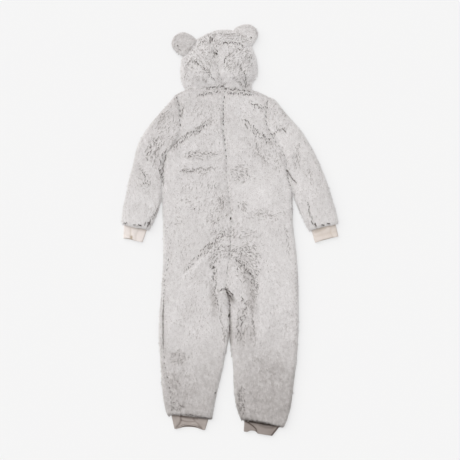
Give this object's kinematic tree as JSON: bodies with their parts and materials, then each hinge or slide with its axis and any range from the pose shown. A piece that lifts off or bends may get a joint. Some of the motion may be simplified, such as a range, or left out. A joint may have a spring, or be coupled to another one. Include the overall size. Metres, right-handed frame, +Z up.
{
  "type": "child's hooded fleece onesie pajama, laid flat on its front",
  "caption": "Hooded teddy-fleece onesie pajama with round ears, ribbed cuffs and a front zip, lying flat with its back up.",
  "frame": {"origin": "on the surface it lies on, under the middle of its bounding box", "axes": "+X towards the wearer's right sleeve, +Y from the ankles to the hood, +Z up out of the surface, through the back"},
  "size_m": [0.624, 1.1856, 0.0358],
  "materials": {
    "fleece": "matte",
    "cream_rib": "matte",
    "taupe_rib": "matte",
    "zip_tape": "matte",
    "zip_metal": "satin"
  },
  "bodies": {
    "garment": {"back_left": "fleece", "back_right": "fleece", "front_left": "fleece", "front_right": "fleece", "sleeve_left": "fleece", "sleeve_right": "fleece", "hood_left": "fleece", "hood_right": "fleece", "ear_left_back": "fleece", "ear_left_front": "fleece", "ear_right_back": "fleece", "ear_right_front": "fleece", "cuff_left": "cream_rib", "cuff_right": "cream_rib", "ankle_cuff_left": "taupe_rib", "ankle_cuff_right": "taupe_rib", "zip_tape_left": "zip_tape", "zip_tape_right": "zip_tape", "zip_slider": "zip_metal"},
    "pull_tab": {"zip_pull": "zip_metal"}
  },
  "joints": [
    {"name": "pull_tab_swing", "type": "hinge", "parent": "garment", "child": "pull_tab", "pos_m": [-0.01252, 0.36175, 0.00145], "axis": [1, 0, 0], "range_deg": [0, 180]}
  ]
}
